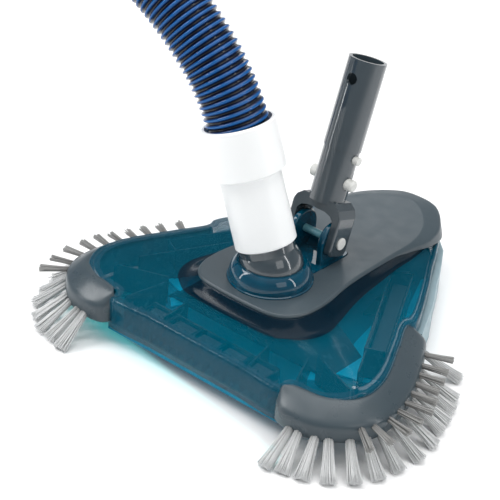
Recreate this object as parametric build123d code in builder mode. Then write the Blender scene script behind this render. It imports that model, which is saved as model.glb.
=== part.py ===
from build123d import *
from math import atan2, cos, degrees, hypot, pi, radians, sin, sqrt, tan
import os

os.makedirs("parts", exist_ok=True)

# ---------------------------------------------------------------------------
# Manual vacuum head for a pool: a three-cornered hull on a fringe of bristles,
# with a swivelling hose port and a pole handle.  Millimetres, +Z up, floor at
# z = 0, -Y is the wide front edge, +Y the rounded rear corner.
# ---------------------------------------------------------------------------

# ---- driving dimensions ---------------------------------------------------
Y0 = -2.7                 # puts the row origin under the middle of the head

PLATE_Z0, HULL_Z0 = 11.0, 14.0        # base plate, then the hull's lower rim
RIDGE_Z, FOOT_Z, BRIM_Z = 45.0, 47.0, 55.0
FRONT_Z, FRONT_SLOPE = 38.5, 0.233    # the front apron rises from its ridge to the platform
WALL = 2.6                            # hull wall
COVER_T = 2.6                         # cover thickness

PORT_Y = -31.7                        # hose port, on the centre line
BALL_Z, BALL_R = 68.0, 23.7           # centre and radius of the swivel ball
SOCKET_R = BALL_R + 0.3
PORT_AXIS = Vector(-0.33660, -0.04080, 0.94076)   # the swivel's own axis

CUFF_L0, CUFF_STEP, CUFF_L1 = 17.3, 72.4, 109.8   # along the swivel axis
CUFF_R_LOW, CUFF_R_TOP = 22.8, 27.5
CUFF_BORE, TUBE_BORE = 19.0, 16.4     # 38 mm hose-tail size
NECK_R = 20.8
HOSE_R, HOSE_RI = 23.0, 19.4
HOSE_START = 87.4

PIVOT_Y, PIVOT_Z = 20.6, 73.9         # handle hinge
LEAN = 17.8                           # handle leans back at rest, degrees
HANDLE_H, HANDLE_R, HANDLE_RI = 135.4, 14.5, 11.9
YOKE_X, YOKE_IN, YOKE_W = 22.35, 16.6, 10.8
EAR_X0, EAR_X1, EAR_R = 11.3, 16.3, 14.5
PIN_R = 3.0
HOLE_H, HOLE_R = 120.4, 4.4           # cross hole near the top of the handle
BUTTON_H, NUB_H = 43.7, 62.5          # snap buttons along the handle
BUTTON_R, NUB_R = 4.6, 3.2
POLE_SEAT_H = 68.0                    # a pole end slides down to this shoulder

HOLDER_Z0, HOLDER_Z1 = 18.0, 42.0

ORIGIN = Vector(0, Y0, 0)
G = Plane(origin=(0, Y0, 0), x_dir=(1, 0, 0), z_dir=(0, 0, 1))


# ---- outlines, right half, front to rear ----------------------------------
def sym(half):
    return half + [(-x, y) for x, y in reversed(half) if x > 0.01]


def inset(pts, d):
    # moves every edge of a counter-clockwise outline inwards by d
    out = []
    n = len(pts)
    for i in range(n):
        (ax, ay), (bx, by), (cx, cy) = pts[i - 1], pts[i], pts[(i + 1) % n]
        l1, l2 = hypot(bx - ax, by - ay), hypot(cx - bx, cy - by)
        n1 = (-(by - ay) / l1, (bx - ax) / l1)
        n2 = (-(cy - by) / l2, (cx - bx) / l2)
        k = 1 + n1[0] * n2[0] + n1[1] * n2[1]
        out.append((bx + d * (n1[0] + n2[0]) / k, by + d * (n1[1] + n2[1]) / k))
    return out


RIDGE = sym([(40, -114.5), (82, -114.5), (83, -107.5), (106, -105), (122, -96),
             (129.5, -79), (127, -57), (109, -16), (97, 10), (98.5, 18),
             (78, 61), (63, 87), (49, 113), (37, 132), (17, 152), (0, 158)])
FOOT = sym([(20, -78), (38, -76), (48, -71), (56, -63), (61, -52),
            (62, -40), (58.5, -25), (52.5, 0), (49.5, 20), (48, 32),
            (46, 62), (46, 85), (43, 107), (34, 127), (15, 147), (0, 152)])
BRIM = sym([(18, -71), (33, -69), (41, -64.5), (46.5, -57.5), (49.5, -49),
            (50.5, -39), (50, -25), (46, 0), (44.4, 20), (44.2, 32),
            (43.5, 62), (43.5, 82), (40, 101), (31, 119), (13, 137), (0, 141)])

# ---- hull: full outer volume and its cavity --------------------------------
with BuildPart() as hull_outer:
    with BuildSketch(G.offset(HULL_Z0)):
        Polygon(*RIDGE, align=None)
    extrude(amount=RIDGE_Z - HULL_Z0)
    with BuildSketch(G.offset(RIDGE_Z)):
        Polygon(*RIDGE, align=None)
    with BuildSketch(G.offset(FOOT_Z)):
        Polygon(*FOOT, align=None)
    loft(ruled=True)
    split(bisect_by=Plane(origin=(0, Y0 - 114.5, FRONT_Z), x_dir=(1, 0, 0), z_dir=(0, -FRONT_SLOPE, 1)), keep=Keep.BOTTOM)
    with BuildSketch(G.offset(FOOT_Z)):
        Polygon(*FOOT, align=None)
    with BuildSketch(G.offset(BRIM_Z)):
        Polygon(*BRIM, align=None)
    loft(ruled=True)

with BuildPart() as hull_inner:
    with BuildSketch(G.offset(HULL_Z0)):
        Polygon(*inset(RIDGE, WALL), align=None)
    extrude(amount=RIDGE_Z - WALL - HULL_Z0)
    with BuildSketch(G.offset(RIDGE_Z - WALL)):
        Polygon(*inset(RIDGE, WALL), align=None)
    with BuildSketch(G.offset(FOOT_Z - WALL)):
        Polygon(*inset(FOOT, 0.8), align=None)
    loft(ruled=True)
    split(bisect_by=Plane(origin=(0, Y0 - 114.5, FRONT_Z - 2.7), x_dir=(1, 0, 0), z_dir=(0, -FRONT_SLOPE, 1)), keep=Keep.BOTTOM)
    with BuildSketch(G.offset(FOOT_Z - WALL)):
        Polygon(*inset(FOOT, 0.8), align=None)
    with BuildSketch(G.offset(BRIM_Z - WALL)):
        Polygon(*inset(BRIM, 1.6), align=None)
    loft(ruled=True)

SCREWS = [(-70, -98), (70, -98), (-104, -60), (104, -60), (-38, 93), (38, 93), (0, 134)]

with BuildPart() as bosses:
    with BuildSketch(G.offset(HULL_Z0)):
        with Locations(*SCREWS):
            Circle(4.2)
    extrude(amount=60)
    add(hull_outer.part, mode=Mode.INTERSECT)
    with BuildSketch(G.offset(HULL_Z0)):
        with Locations(*SCREWS):
            Circle(1.7)
    extrude(amount=12, mode=Mode.SUBTRACT)

# ---- translucent hull -------------------------------------------------------
with BuildPart() as body_shell:
    add(hull_outer.part)
    add(hull_inner.part, mode=Mode.SUBTRACT)
    add(bosses.part)
    with BuildSketch(G.offset(BRIM_Z - 10)):
        with Locations((0, PORT_Y)):
            Circle(28.2)
    extrude(amount=12, mode=Mode.SUBTRACT)

# ---- base plate with the suction slot --------------------------------------
SLOT_Y, SLOT_L, SLOT_W = -36.0, 150.0, 24.0
with BuildPart() as base_plate:
    with BuildSketch(G.offset(PLATE_Z0)):
        Polygon(*RIDGE, align=None)
    extrude(amount=HULL_Z0 - PLATE_Z0)
    # stiffening rails that steer the water into the slot
    with BuildSketch(G.offset(PLATE_Z0 - 3.0)):
        with Locations((0, SLOT_Y - 24), (0, SLOT_Y + 24)):
            SlotOverall(168, 5)
        with Locations((-34, 52), (34, 52)):
            SlotOverall(70, 4, rotation=90)
    extrude(amount=3.0)
    with BuildSketch(G.offset(PLATE_Z0 - 1)):
        with Locations((0, SLOT_Y)):
            SlotOverall(SLOT_L, SLOT_W)
    extrude(amount=8, mode=Mode.SUBTRACT)
    with BuildSketch(G.offset(PLATE_Z0 - 1)):
        with Locations(*SCREWS):
            Circle(1.7)
    extrude(amount=8, mode=Mode.SUBTRACT)
    with BuildSketch(G.offset(PLATE_Z0)):
        with Locations(*SCREWS):
            Circle(3.4)
    extrude(amount=1.5, mode=Mode.SUBTRACT)

with BuildPart() as base_screws:
    with BuildSketch(G.offset(PLATE_Z0)):
        with Locations(*SCREWS):
            Circle(3.4)
    extrude(amount=1.5)
    with BuildSketch(G.offset(PLATE_Z0 + 1.5)):
        with Locations(*SCREWS):
            Circle(1.7)
    extrude(amount=HULL_Z0 - PLATE_Z0 - 1.5 + 12)
    with BuildSketch(G.offset(PLATE_Z0)):
        with Locations(*SCREWS):
            Rectangle(4.4, 0.9)
            Rectangle(0.9, 4.4)
    extrude(amount=0.8, mode=Mode.SUBTRACT)

# ---- suction duct: slot below, round seat for the swivel above ---------------
DUCT_Z1 = 48.0
with BuildPart() as suction_duct:
    with BuildSketch(G.offset(HULL_Z0)):
        with Locations((0, (SLOT_Y + PORT_Y) / 2)):
            Rectangle(158, 40)
    with BuildSketch(G.offset(34)):
        with Locations((0, PORT_Y)):
            Rectangle(60, 60)
    loft(ruled=True)
    with BuildSketch(G.offset(34)):
        with Locations((0, PORT_Y)):
            Circle(30)
    extrude(amount=DUCT_Z1 - 34)
    with BuildSketch(G.offset(HULL_Z0)):
        with Locations((0, (SLOT_Y + PORT_Y) / 2)):
            Rectangle(153, 35)
    with BuildSketch(G.offset(31.5)):
        with Locations((0, PORT_Y)):
            Rectangle(54, 54)
    loft(ruled=True, mode=Mode.SUBTRACT)
    with BuildSketch(G.offset(30)):
        with Locations((0, PORT_Y)):
            Circle(26.5)
    extrude(amount=30, mode=Mode.SUBTRACT)

# ---- ballast -----------------------------------------------------------------
with BuildPart() as ballast_front:
    with BuildSketch(G.offset(HULL_Z0)):
        with Locations(*[(x, -96.5) for x in (-48, -24, 0, 24, 48)]):
            RectangleRounded(20, 13, 1.5)
    extrude(amount=16)
    chamfer(ballast_front.faces().filter_by(Plane.XY).sort_by(Axis.Z)[-5:].edges(), 0.8)

with BuildPart() as ballast_right:
    with BuildSketch(Plane(origin=(73, Y0 + 20, HULL_Z0), x_dir=(0.451, -0.893, 0), z_dir=(0, 0, 1))):
        RectangleRounded(106, 12, 2)
    extrude(amount=17)
    chamfer(ballast_right.faces().sort_by(Axis.Z)[-1].edges(), 0.8)

with BuildPart() as ballast_left:
    mirror(ballast_right.part, about=Plane.YZ)

# ---- gray top cover -----------------------------------------------------------
REAR_TOP = sym([(43.5, 30), (43, 62), (43, 84), (40.5, 101), (33, 118), (24, 130), (13, 138), (0, 141)])
REAR_BRIM = sym([(44, 30), (44.2, 62), (45, 84), (46, 104), (40, 125), (31, 142), (17, 153.5), (0, 157)])
REAR_RIM = sym([(60, 30), (55, 62), (52, 84), (50, 106), (44.5, 125), (32.5, 144.5), (17, 156.5), (0, 161)])
with BuildPart() as top_cover:
    with BuildSketch(G.offset(33)):
        Polygon(*REAR_RIM, align=None)
    with BuildSketch(G.offset(53)):
        Polygon(*REAR_BRIM, align=None)
    loft(ruled=True)
    with BuildSketch(G.offset(53)):
        Polygon(*REAR_BRIM, align=None)
    with BuildSketch(G.offset(BRIM_Z + COVER_T)):
        Polygon(*REAR_TOP, align=None)
    loft(ruled=True)
    # the lower edge falls from the platform's side to the rear corner
    split(bisect_by=Plane(origin=(0, Y0 + 62, BRIM_Z), x_dir=(1, 0, 0), z_dir=(0, 0.167, 1)), keep=Keep.TOP)
    with BuildSketch(G.offset(BRIM_Z)):
        Polygon(*BRIM, align=None)
    extrude(amount=COVER_T)
    add(hull_outer.part, mode=Mode.SUBTRACT)
    with BuildSketch(G.offset(BRIM_Z - 1)):
        with Locations((0, PORT_Y)):
            Circle(31.9)
        with Locations((0, 14.75)):
            RectangleRounded(40, 46.5, 5)
    extrude(amount=10, mode=Mode.SUBTRACT)

# ---- translucent port collar ----------------------------------------------------
with BuildPart() as port_collar:
    with BuildSketch(Plane(origin=(0, Y0 + PORT_Y, 0), x_dir=(1, 0, 0), z_dir=(0, -1, 0))):
        with BuildLine():
            Polyline((25.0, BRIM_Z), (31.8, BRIM_Z), (31.8, 58.4), (30.9, 58.9))
            Spline((30.9, 58.9), (30.6, 62.6), (29.0, 67.3), (25.7, 71.5))
            Polyline((25.7, 71.5), (22.0, 71.5), (22.0, 60), (20.0, 58), (20.0, BRIM_Z), (25.0, BRIM_Z))
        make_face()
    revolve(axis=Axis((0, Y0 + PORT_Y, 0), (0, 0, 1)))
    with Locations((0, Y0 + PORT_Y, BALL_Z)):
        Sphere(SOCKET_R, mode=Mode.SUBTRACT)
    with BuildSketch(G.offset(63.4)):
        with Locations((0, PORT_Y)):
            Circle(26.6)
    extrude(amount=2.4, mode=Mode.SUBTRACT)

# ---- seal ring in the collar's groove --------------------------------------------
with BuildPart() as port_seal:
    with BuildSketch(G.offset(63.4)):
        with Locations((0, PORT_Y)):
            Circle(26.6)
            Circle(20, mode=Mode.SUBTRACT)
    extrude(amount=2.4)
    with Locations((0, Y0 + PORT_Y, BALL_Z)):
        Sphere(BALL_R + 0.05, mode=Mode.SUBTRACT)

# ---- seat ring under the ball ------------------------------------------------------
with BuildPart() as ball_seat:
    with BuildSketch(G.offset(DUCT_Z1)):
        with Locations((0, PORT_Y)):
            Circle(29.6)
            Circle(16, mode=Mode.SUBTRACT)
    extrude(amount=BRIM_Z - WALL - DUCT_Z1)
    with Locations((0, Y0 + PORT_Y, BALL_Z)):
        Sphere(SOCKET_R, mode=Mode.SUBTRACT)

# ---- hinge bracket with two ears ---------------------------------------------------
EAR = Plane(origin=(0, Y0, 0), x_dir=(0, 1, 0), z_dir=(1, 0, 0))
with BuildPart() as hinge_bracket:
    with BuildSketch(G.offset(BRIM_Z)):
        with Locations((0, 14.75)):
            RectangleRounded(39, 45.5, 5)
        with Locations((0, PORT_Y)):
            Circle(31.85, mode=Mode.SUBTRACT)
    extrude(amount=3.4)
    with BuildSketch(EAR.offset(EAR_X0)):
        with Locations((PIVOT_Y, PIVOT_Z)):
            Circle(EAR_R)
        with Locations((PIVOT_Y, (PIVOT_Z + BRIM_Z) / 2)):
            Rectangle(2 * EAR_R, PIVOT_Z - BRIM_Z)
    extrude(amount=EAR_X1 - EAR_X0)
    fillet(hinge_bracket.edges().filter_by(GeomType.CIRCLE).filter_by(lambda e: abs(e.radius - EAR_R) < 0.01), radius=1.6)
    mirror(about=Plane.YZ)
    # low web between the ears
    with BuildSketch(EAR.offset(-EAR_X0)):
        with BuildLine():
            Polyline((24, 58.4), (34, 58.4), (34, 66), (31, 66), close=True)
        make_face()
    extrude(amount=2 * EAR_X0)
    with BuildSketch(EAR.offset(-30)):
        with Locations((PIVOT_Y, PIVOT_Z)):
            Circle(PIN_R + 0.05)
    extrude(amount=60, mode=Mode.SUBTRACT)

# ---- brushes round the front corners -------------------------------------------------
H_OUT = [(108, 20), (115, 9), (126, -11), (136, -32), (142, -50), (145.3, -65), (146.3, -80),
         (143.5, -93), (137, -104), (129, -112), (120, -118.5), (110, -122.5), (100, -124), (90, -123.6), (83, -121), (79.5, -116)]
H_IN = [(93.5, 13), (95.5, 5), (105.5, -15), (114.5, -34), (123.5, -53), (127, -66), (128, -77),
        (126.2, -85.5), (120.5, -93.5), (113, -99.8), (104, -103.2), (95, -104.2), (86, -106.5), (79.5, -112)]
TIPS_LOW = [(134, 34), (145, 11), (152, -2), (158, -15), (162, -28), (168, -46), (171, -67), (169, -87),
            (164, -104), (155, -120), (141, -134), (126, -144), (111, -148), (98, -150)]
TIPS_SIDE = [(134, 16), (141, 2), (146, -10), (151, -23), (157, -35), (162, -46), (164, -61), (165, -77),
             (163, -95), (158, -111)]
HOLDER_RIM_Z = 32.0
outer_curve = Spline(*[(x, y, 0) for x, y in H_OUT])
inner_curve = Spline(*[(x, y, 0) for x, y in H_IN])


def wall_at(tip):
    # the holder's outer wall point nearest to a tuft's tip, and the way out to it
    best = min((outer_curve @ (0.02 + 0.96 * i / 240) for i in range(241)),
               key=lambda q: hypot(q.X - tip[0], q.Y - tip[1]))
    d = hypot(tip[0] - best.X, tip[1] - best.Y)
    return best.X, best.Y, (tip[0] - best.X) / d, (tip[1] - best.Y) / d


tufts_low, tufts_side = [], []
for tip in TIPS_LOW:
    wx, wy, nx, ny = wall_at(tip)
    tufts_low.append((Vector(wx - 4 * nx, Y0 + wy - 4 * ny, 21.5), Vector(tip[0], Y0 + tip[1], 0.0)))
for tip in TIPS_SIDE:
    wx, wy, nx, ny = wall_at(tip)
    tufts_side.append((Vector(wx - 5 * nx, Y0 + wy - 5 * ny, 29.6), Vector(tip[0], Y0 + tip[1], 26.5)))

with BuildPart() as floor_bristles_right:
    for root, tip in tufts_low:
        d = tip - root
        with Locations(Plane(origin=root, z_dir=d)):
            Cone(bottom_radius=2.2, top_radius=4.6, height=d.length + 2,
                 align=(Align.CENTER, Align.CENTER, Align.MIN))
    split(bisect_by=Plane.XY, keep=Keep.TOP)

with BuildPart() as side_bristles_right:
    for root, tip in tufts_side:
        d = tip - root
        with Locations(Plane(origin=root, z_dir=d)):
            Cone(bottom_radius=1.9, top_radius=3.0, height=d.length,
                 align=(Align.CENTER, Align.CENTER, Align.MIN))

SPAN = 17
ring_out = [(outer_curve @ (i / (SPAN - 1))) for i in range(SPAN)]
ring_in = [(inner_curve @ (i / (SPAN - 1))) for i in range(SPAN)]
rim_low = [(p.X, p.Y) for p in ring_out] + [(q.X, q.Y) for q in reversed(ring_in)]
rim_top = ([(q.X + 0.22 * (p.X - q.X), q.Y + 0.22 * (p.Y - q.Y)) for p, q in zip(ring_out, ring_in)]
           + [(q.X, q.Y) for q in reversed(ring_in)])
with BuildPart() as brush_holder_right:
    with BuildSketch(G.offset(HOLDER_Z0)):
        Polygon(*rim_low, align=None)
    extrude(amount=HOLDER_RIM_Z - HOLDER_Z0)
    with BuildSketch(G.offset(HOLDER_RIM_Z)):
        Polygon(*rim_low, align=None)
    with BuildSketch(G.offset(HOLDER_Z1)):
        Polygon(*rim_top, align=None)
    loft(ruled=True)
    add(hull_outer.part, mode=Mode.SUBTRACT)
    add(floor_bristles_right.part, mode=Mode.SUBTRACT)
    add(side_bristles_right.part, mode=Mode.SUBTRACT)

with BuildPart() as floor_bristles_left:
    mirror(floor_bristles_right.part, about=Plane.YZ)
with BuildPart() as side_bristles_left:
    mirror(side_bristles_right.part, about=Plane.YZ)
with BuildPart() as brush_holder_left:
    mirror(brush_holder_right.part, about=Plane.YZ)

# ---- soft skirts along the rear flanks -------------------------------------------------
FLANK_OUT = [(101.5, 14), (98.5, 18), (78, 61), (63, 87), (49, 113), (37, 132), (26, 143)]
with BuildPart() as side_skirt_right:
    with BuildSketch(G.offset(1.0)):
        Polygon((100.5, 24.5), (82.4, 63.2), (67, 89.3), (53, 115.2), (41, 134.5), (28, 147),
                (22, 140), (32, 128), (45, 108), (58, 85), (74, 59), (93.5, 22), align=None)
    extrude(amount=29)
    with BuildSketch(G.offset(PLATE_Z0)):
        Polygon(*RIDGE, align=None)
    extrude(amount=30, mode=Mode.SUBTRACT)
    with BuildSketch(G.offset(0)):
        Polygon(*inset(RIDGE, 1.5), align=None)
    extrude(amount=30, mode=Mode.SUBTRACT)
with BuildPart() as side_skirt_left:
    mirror(side_skirt_right.part, about=Plane.YZ)

# ---- pole handle: yoke and tube in one moulding -------------------------------------------
UP = Vector(0, sin(radians(LEAN)), cos(radians(LEAN)))
BACK = Vector(0, cos(radians(LEAN)), -sin(radians(LEAN)))
PIVOT = Vector(0, Y0 + PIVOT_Y, PIVOT_Z)
H = Plane(origin=PIVOT, x_dir=(1, 0, 0), z_dir=UP)          # across the handle
HS = Plane(origin=PIVOT, x_dir=BACK, z_dir=(1, 0, 0))      # side view, local y is up
HF = Plane(origin=PIVOT, x_dir=(1, 0, 0), z_dir=-BACK)      # front view, local y is up

with BuildPart() as handle_tube:
    with BuildSketch(HF.offset(-YOKE_W)):
        with BuildLine():
            Polyline((YOKE_X, -YOKE_W), (YOKE_X, 19), (19.5, 25), (14.4, 29), (-14.4, 29), (-19.5, 25), (-YOKE_X, 19),
                     (-YOKE_X, -YOKE_W), (-YOKE_IN, -YOKE_W), (-YOKE_IN, 15.2), (-13.5, 18.8), (-8, 20.4), (8, 20.4), (13.5, 18.8),
                     (YOKE_IN, 15.2), (YOKE_IN, -YOKE_W), close=True)
        make_face()
    extrude(amount=2 * YOKE_W)
    # rounded feet and shoulders
    fillet(handle_tube.edges().filter_by(Axis.X).filter_by(lambda e: (e.center() - PIVOT).dot(UP) < -YOKE_W + 0.1), radius=5.0)
    fillet(handle_tube.edges().filter_by(lambda e: e.bounding_box().min.X > YOKE_X - 0.05
                                         or e.bounding_box().max.X < -YOKE_X + 0.05), radius=1.8)
    with BuildSketch(H.offset(26)):
        Circle(HANDLE_R - 0.7)
    extrude(amount=POLE_SEAT_H - 26)
    with BuildSketch(H.offset(POLE_SEAT_H)):
        Circle(HANDLE_R)
    extrude(amount=HANDLE_H - POLE_SEAT_H)
    with BuildSketch(H.offset(30)):
        Circle(HANDLE_RI)
    extrude(amount=HANDLE_H, mode=Mode.SUBTRACT)
    with BuildSketch(HF.offset(-20)):
        with Locations((0, HOLE_H)):
            Circle(HOLE_R)
    extrude(amount=40, mode=Mode.SUBTRACT)
    with BuildSketch(HS.offset(-30)):
        Circle(PIN_R)
    extrude(amount=60, mode=Mode.SUBTRACT)
    with BuildSketch(HS.offset(-30)):
        with Locations((0, BUTTON_H)):
            Circle(BUTTON_R + 0.3)
    extrude(amount=60, mode=Mode.SUBTRACT)
    with BuildSketch(HS.offset(1)):
        with Locations((0, NUB_H)):
            Circle(NUB_R + 0.3)
    extrude(amount=29, mode=Mode.SUBTRACT)

with BuildPart() as hinge_pin:
    with BuildSketch(HS.offset(-YOKE_X)):
        Circle(PIN_R)
    extrude(amount=2 * YOKE_X)

with BuildPart() as pin_caps:
    with BuildSketch(HS.offset(YOKE_X)):
        Circle(4.7)
    extrude(amount=1.4)
    with BuildSketch(HS.offset(-YOKE_X)):
        Circle(4.7)
    extrude(amount=-1.4)
    chamfer(pin_caps.edges().filter_by(GeomType.CIRCLE).sort_by(Axis.X)[0], 0.5)
    chamfer(pin_caps.edges().filter_by(GeomType.CIRCLE).sort_by(Axis.X)[-1], 0.5)

# ---- snap clip inside the tube: a fixed bridge and two sprung legs ---------------------------
with BuildPart() as clip_bridge:
    with BuildSketch(H.offset(30)):
        Circle(HANDLE_RI)
    extrude(amount=2.4)

with BuildPart() as snap_leg_right:
    with BuildSketch(HF.offset(-3.2)):
        Polygon((9.0, 33.2), (10.9, 33.2), (10.9, 67.5), (9.0, 67.5), align=None)
    extrude(amount=6.4)
    with BuildSketch(HS.offset(10.8)):
        with Locations((0, BUTTON_H)):
            Circle(BUTTON_R)
    extrude(amount=8.8)
    with BuildSketch(HS.offset(10.8)):
        with Locations((0, NUB_H)):
            Circle(NUB_R)
    extrude(amount=6.8)
    chamfer(snap_leg_right.edges().filter_by(GeomType.CIRCLE).sort_by(Axis.X)[-1], 1.0)

with BuildPart() as snap_leg_left:
    with BuildSketch(HF.offset(-3.2)):
        Polygon((-9.0, 33.2), (-10.9, 33.2), (-10.9, 52), (-9.0, 52), align=None)
    extrude(amount=6.4)
    with BuildSketch(HS.offset(-10.8)):
        with Locations((0, BUTTON_H)):
            Circle(BUTTON_R)
    extrude(amount=-8.8)
    chamfer(snap_leg_left.edges().filter_by(GeomType.CIRCLE).sort_by(Axis.X)[0], 1.0)

# ---- swivel: ball and tail, with the white cuff pushed on -----------------------------------
BALL_C = Vector(0, Y0 + PORT_Y, BALL_Z)
S = Plane(origin=BALL_C, x_dir=(0, 1, 0), z_dir=PORT_AXIS)
SR = Plane(origin=BALL_C, x_dir=S.x_dir, z_dir=S.y_dir * -1)      # half section, local y is the axis
with BuildPart() as swivel_connector:
    with Locations(BALL_C):
        Sphere(BALL_R)
    split(bisect_by=S.offset(-10), keep=Keep.TOP)
    with BuildSketch(S.offset(10)):
        Circle(NECK_R)
    extrude(amount=CUFF_L0 - 0.1 - 10)
    with BuildSketch(S.offset(CUFF_L0 - 0.1)):
        Circle(CUFF_BORE)
    extrude(amount=58)
    with BuildSketch(S.offset(-20)):
        Circle(TUBE_BORE)
    extrude(amount=120, mode=Mode.SUBTRACT)
    with BuildSketch(S.offset(-10)):
        Circle(20.2)
    with BuildSketch(S.offset(2)):
        Circle(TUBE_BORE)
    loft(mode=Mode.SUBTRACT)

with BuildPart() as hose_cuff:
    with BuildSketch(SR):
        with BuildLine():
            Polyline((CUFF_BORE, CUFF_L0), (CUFF_R_LOW - 0.8, CUFF_L0), (CUFF_R_LOW, CUFF_L0 + 0.8),
                     (CUFF_R_LOW, CUFF_STEP - 1.5), (CUFF_R_TOP, CUFF_STEP + 1.0), (CUFF_R_TOP, CUFF_L1 - 0.9),
                     (CUFF_R_TOP - 0.9, CUFF_L1), (24.8, CUFF_L1), (24.8, HOSE_START - 0.5),
                     (CUFF_BORE, HOSE_START - 0.5), close=True)
        make_face()
    revolve(axis=Axis(BALL_C, PORT_AXIS))

# ---- hose: runs joined by tangent arcs ---------------------------------------------------------
ROUTE = [
    BALL_C + PORT_AXIS * HOSE_START,
    BALL_C + PORT_AXIS * (HOSE_START + 22),
    Vector(-48.7, Y0 - 37.6, 194.3),
    Vector(-68.0, Y0 - 39.6, 219.6),
    Vector(-105.0, Y0 - 43.5, 253.0),
    Vector(-174.0, Y0 - 48.0, 292.0),
    Vector(-257.0, Y0 - 51.0, 306.0),
    Vector(-340.0, Y0 - 52.0, 288.0),
    Vector(-410.0, Y0 - 50.0, 241.0),
    Vector(-457.0, Y0 - 46.0, 171.0),
    Vector(-478.0, Y0 - 42.0, 112.0),
    Vector(-514.0, Y0 - 38.0, 66.0),
    Vector(-566.0, Y0 - 34.0, 37.0),
    Vector(-626.0, Y0 - 27.0, 24.5),
    Vector(-686.0, Y0 - 11.0, 23.4),
    Vector(-742.0, Y0 + 17.0, 23.6),
    Vector(-788.0, Y0 + 58.0, 25.4),
    Vector(-822.0, Y0 + 110.0, 27.4),
    Vector(-838.0, Y0 + 158.0, 28.2),
]
radii = []
for a, b, c in zip(ROUTE, ROUTE[1:], ROUTE[2:]):
    r1, r2 = (b - a).length, (c - b).length
    turn = (b - a).get_angle(c - b)
    radii.append(0.45 * min(r1, r2) / tan(radians(turn / 2)))
print("hose runs", [round((b - a).length) for a, b in zip(ROUTE, ROUTE[1:])])
print("hose radii", [round(r) for r in radii])
with BuildLine() as hose_path:
    FilletPolyline(*ROUTE, radius=radii)
with BuildPart() as hose_tube:
    with BuildSketch(Plane(origin=ROUTE[0], z_dir=ROUTE[1] - ROUTE[0])):
        Circle(HOSE_R)
        Circle(HOSE_RI, mode=Mode.SUBTRACT)
    sweep(path=hose_path.wires()[0])
hose_len = hose_path.wires()[0].length
print("hose length", round(hose_len, 1), "volume ratio",
      round(hose_tube.part.volume / (pi * (HOSE_R ** 2 - HOSE_RI ** 2) * hose_len), 4))

# ---- cuff on the hose's far end -------------------------------------------------------------------
TAIL = (ROUTE[-1] - ROUTE[-2]).normalized()
FAR_L = 92.4
F = Plane(origin=ROUTE[-1], x_dir=Vector(0, 0, 1), z_dir=TAIL)
FR = Plane(origin=ROUTE[-1], x_dir=F.x_dir, z_dir=F.y_dir * -1)
with BuildPart() as hose_far_cuff:
    with BuildSketch(FR):
        with BuildLine():
            Polyline((CUFF_BORE, 0), (HOSE_R, 0), (HOSE_R, -22), (CUFF_R_TOP - 0.9, -22), (CUFF_R_TOP, -21.1),
                     (CUFF_R_TOP, 19), (CUFF_R_LOW, 21.5), (CUFF_R_LOW, FAR_L - 22.8), (CUFF_R_LOW - 0.8, FAR_L - 22),
                     (CUFF_BORE, FAR_L - 22), close=True)
        make_face()
    revolve(axis=Axis(ROUTE[-1], TAIL))

# ---- labels and files ---------------------------------------------------------------------------------
body_shell.part.label = "body_shell"
export_step(body_shell.part, "parts/body_shell.step")
base_plate.part.label = "base_plate"
export_step(base_plate.part, "parts/base_plate.step")
base_screws.part.label = "base_screws"
export_step(base_screws.part, "parts/base_screws.step")
suction_duct.part.label = "suction_duct"
export_step(suction_duct.part, "parts/suction_duct.step")
ballast_front.part.label = "ballast_front"
export_step(ballast_front.part, "parts/ballast_front.step")
ballast_left.part.label = "ballast_left"
export_step(ballast_left.part, "parts/ballast_left.step")
ballast_right.part.label = "ballast_right"
export_step(ballast_right.part, "parts/ballast_right.step")
top_cover.part.label = "top_cover"
export_step(top_cover.part, "parts/top_cover.step")
port_collar.part.label = "port_collar"
export_step(port_collar.part, "parts/port_collar.step")
port_seal.part.label = "port_seal"
export_step(port_seal.part, "parts/port_seal.step")
ball_seat.part.label = "ball_seat"
export_step(ball_seat.part, "parts/ball_seat.step")
hinge_bracket.part.label = "hinge_bracket"
export_step(hinge_bracket.part, "parts/hinge_bracket.step")
brush_holder_left.part.label = "brush_holder_left"
export_step(brush_holder_left.part, "parts/brush_holder_left.step")
brush_holder_right.part.label = "brush_holder_right"
export_step(brush_holder_right.part, "parts/brush_holder_right.step")
floor_bristles_left.part.label = "floor_bristles_left"
export_step(floor_bristles_left.part, "parts/floor_bristles_left.step")
floor_bristles_right.part.label = "floor_bristles_right"
export_step(floor_bristles_right.part, "parts/floor_bristles_right.step")
side_bristles_left.part.label = "side_bristles_left"
export_step(side_bristles_left.part, "parts/side_bristles_left.step")
side_bristles_right.part.label = "side_bristles_right"
export_step(side_bristles_right.part, "parts/side_bristles_right.step")
side_skirt_left.part.label = "side_skirt_left"
export_step(side_skirt_left.part, "parts/side_skirt_left.step")
side_skirt_right.part.label = "side_skirt_right"
export_step(side_skirt_right.part, "parts/side_skirt_right.step")
handle_tube.part.label = "handle_tube"
export_step(handle_tube.part, "parts/handle_tube.step")
hinge_pin.part.label = "hinge_pin"
export_step(hinge_pin.part, "parts/hinge_pin.step")
pin_caps.part.label = "pin_caps"
export_step(pin_caps.part, "parts/pin_caps.step")
clip_bridge.part.label = "clip_bridge"
export_step(clip_bridge.part, "parts/clip_bridge.step")
snap_leg_left.part.label = "snap_leg_left"
export_step(snap_leg_left.part, "parts/snap_leg_left.step")
snap_leg_right.part.label = "snap_leg_right"
export_step(snap_leg_right.part, "parts/snap_leg_right.step")
swivel_connector.part.label = "swivel_connector"
export_step(swivel_connector.part, "parts/swivel_connector.step")
hose_cuff.part.label = "hose_cuff"
export_step(hose_cuff.part, "parts/hose_cuff.step")
hose_tube.part.label = "hose_tube"
export_step(hose_tube.part, "parts/hose_tube.step")
hose_far_cuff.part.label = "hose_far_cuff"
export_step(hose_far_cuff.part, "parts/hose_far_cuff.step")
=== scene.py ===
import math
import random

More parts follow.
